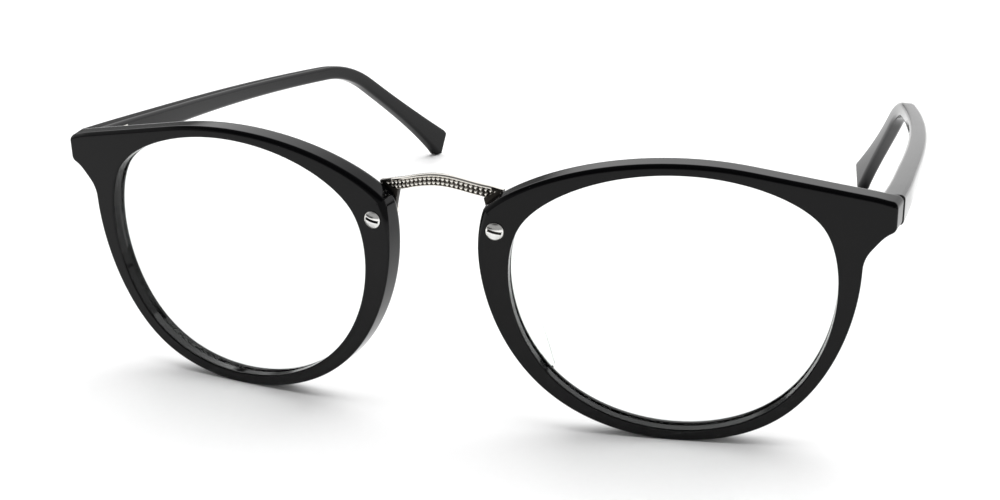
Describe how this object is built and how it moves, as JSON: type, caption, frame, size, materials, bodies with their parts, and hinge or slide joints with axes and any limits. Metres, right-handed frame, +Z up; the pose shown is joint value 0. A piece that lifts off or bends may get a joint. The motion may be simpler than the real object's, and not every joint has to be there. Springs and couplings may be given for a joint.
{
  "type": "eyeglasses",
  "caption": "Round black acetate eyeglasses with an arched metal bridge, slotted bridge screws, clear lenses and folding temples.",
  "frame": {"origin": "on the surface that the glasses rest on, midway between left and right and midway between the front and the temple tips", "axes": "+X to the wearer's left, +Y from the front towards the temple tips, +Z up"},
  "size_m": [0.1386, 0.139, 0.0449],
  "materials": {
    "acetate": "polished black acetate",
    "lens": "clear uncoated demonstration lens",
    "pad": "clear polished acetate",
    "nickel": "polished nickel silver, lightly darkened in its recesses",
    "steel": "fine turned and pressed steel"
  },
  "bodies": {
    "front": {"rim_left": "acetate", "rim_right": "acetate", "lens_left": "lens", "lens_right": "lens", "bridge": "nickel", "bridge_screw_left": "nickel", "bridge_screw_right": "nickel", "bridge_nut_left": "nickel", "bridge_nut_right": "nickel", "nose_pad_left": "pad", "nose_pad_right": "pad", "front_hinge_left": "steel", "front_hinge_right": "steel", "hinge_screw_left": "steel", "hinge_screw_right": "steel"},
    "left_temple": {"temple_left": "acetate", "temple_hinge_left": "steel", "core_wire_left": "steel"},
    "right_temple": {"temple_right": "acetate", "temple_hinge_right": "steel", "core_wire_right": "steel"}
  },
  "joints": [
    {"name": "left_temple_fold", "type": "hinge", "parent": "front", "child": "left_temple", "pos_m": [0.06417, -0.05634, 0.03806], "axis": [0, -0.0127, 0.9999], "range_deg": [0, 85]},
    {"name": "right_temple_fold", "type": "hinge", "parent": "front", "child": "right_temple", "pos_m": [-0.06417, -0.05634, 0.03806], "axis": [0, 0.0127, -0.9999], "range_deg": [0, 78]}
  ]
}
